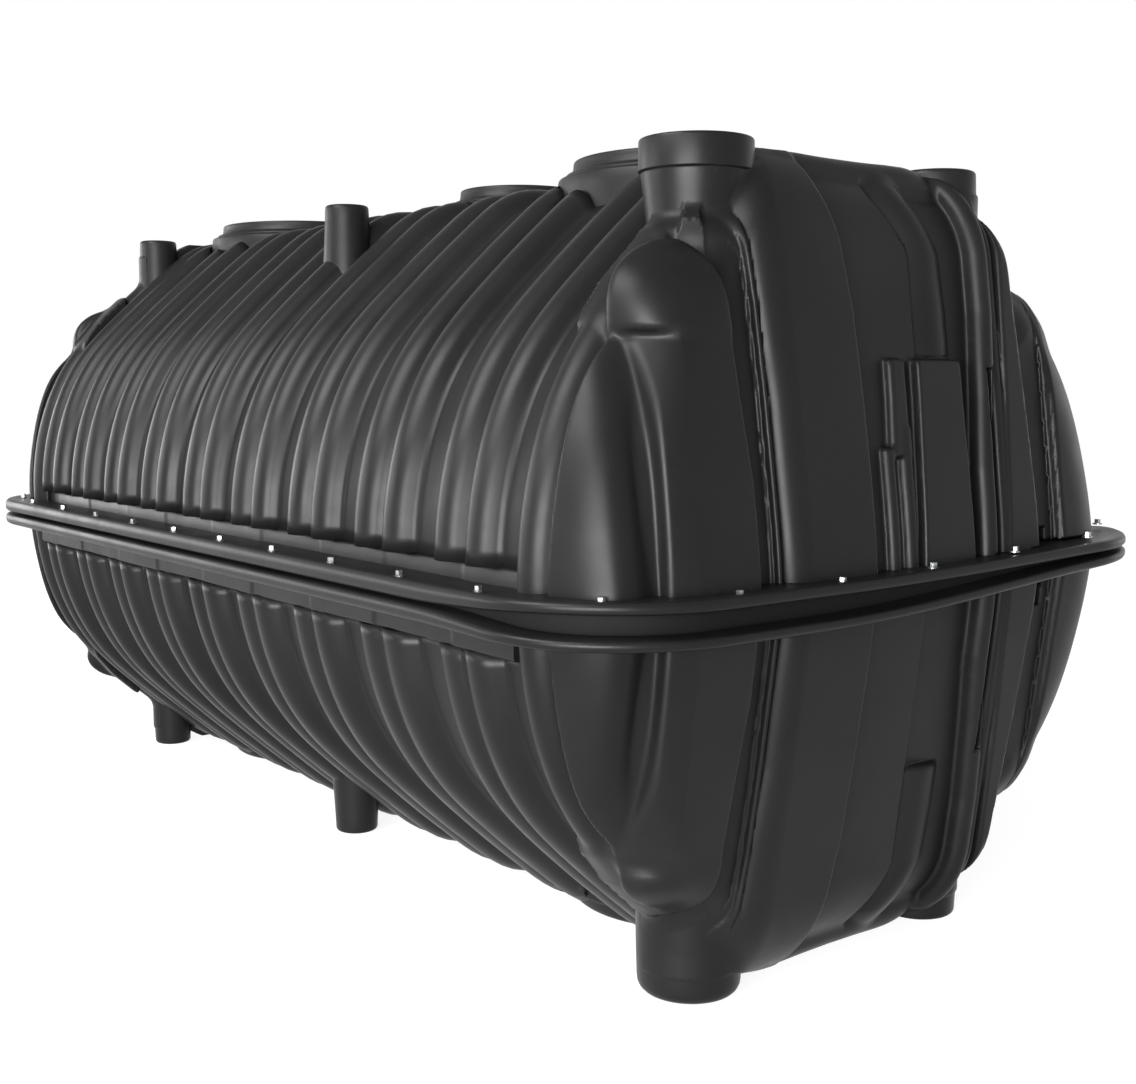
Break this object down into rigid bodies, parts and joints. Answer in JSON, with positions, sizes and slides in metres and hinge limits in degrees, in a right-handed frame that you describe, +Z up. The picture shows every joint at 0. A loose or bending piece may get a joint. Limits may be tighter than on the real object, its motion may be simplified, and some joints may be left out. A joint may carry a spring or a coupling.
{
  "type": "septic tank",
  "caption": "Black moulded septic tank of two ribbed half shells joined at a flange, with manhole collars on top, posts at its corners and feet below.",
  "frame": {"origin": "under the middle of the tank, at the level of the feet", "axes": "+X along the tank towards the front end, which has the large post, +Y across it, +Z up"},
  "size_m": [3.25, 1.79, 1.738],
  "materials": {
    "barrel": "satin moulded black polyethylene",
    "end": "satin moulded black polyethylene",
    "end_ribs": "satin moulded black polyethylene",
    "corner": "satin moulded black polyethylene",
    "flange": "satin moulded black polyethylene",
    "collar": "satin moulded black polyethylene",
    "post": "satin moulded black polyethylene",
    "boss": "satin moulded black polyethylene",
    "gasket": "matt black sealing rubber"
  },
  "bodies": {
    "root": {"upper_barrel": "barrel", "upper_side_bands": "barrel", "upper_front_end": "end", "upper_rear_end": "end", "upper_front_ribs": "end_ribs", "upper_rear_ribs": "end_ribs", "upper_flange": "flange", "seam_gasket": "gasket", "upper_front_left_corner": "corner", "upper_front_right_corner": "corner", "upper_rear_left_corner": "corner", "upper_rear_right_corner": "corner", "front_left_post": "post", "front_right_post": "post", "middle_left_post": "post", "middle_right_post": "post", "rear_left_post": "post", "rear_right_post": "post", "front_manhole_collar": "collar", "middle_manhole_collar": "collar", "rear_manhole_collar": "collar", "crown_pads": "boss", "lower_barrel": "barrel", "lower_side_bands": "barrel", "lower_front_end": "end", "lower_rear_end": "end", "lower_front_ribs": "end_ribs", "lower_rear_ribs": "end_ribs", "lower_flange": "flange", "keel_pads": "boss", "lower_front_left_corner": "corner", "lower_front_right_corner": "corner", "lower_rear_left_corner": "corner", "lower_rear_right_corner": "corner", "front_left_foot": "post", "front_right_foot": "post", "middle_left_foot": "post", "middle_right_foot": "post", "rear_left_foot": "post", "rear_right_foot": "post", "front_boss": "boss", "middle_boss": "boss", "rear_boss": "boss"}
  },
  "joints": []
}
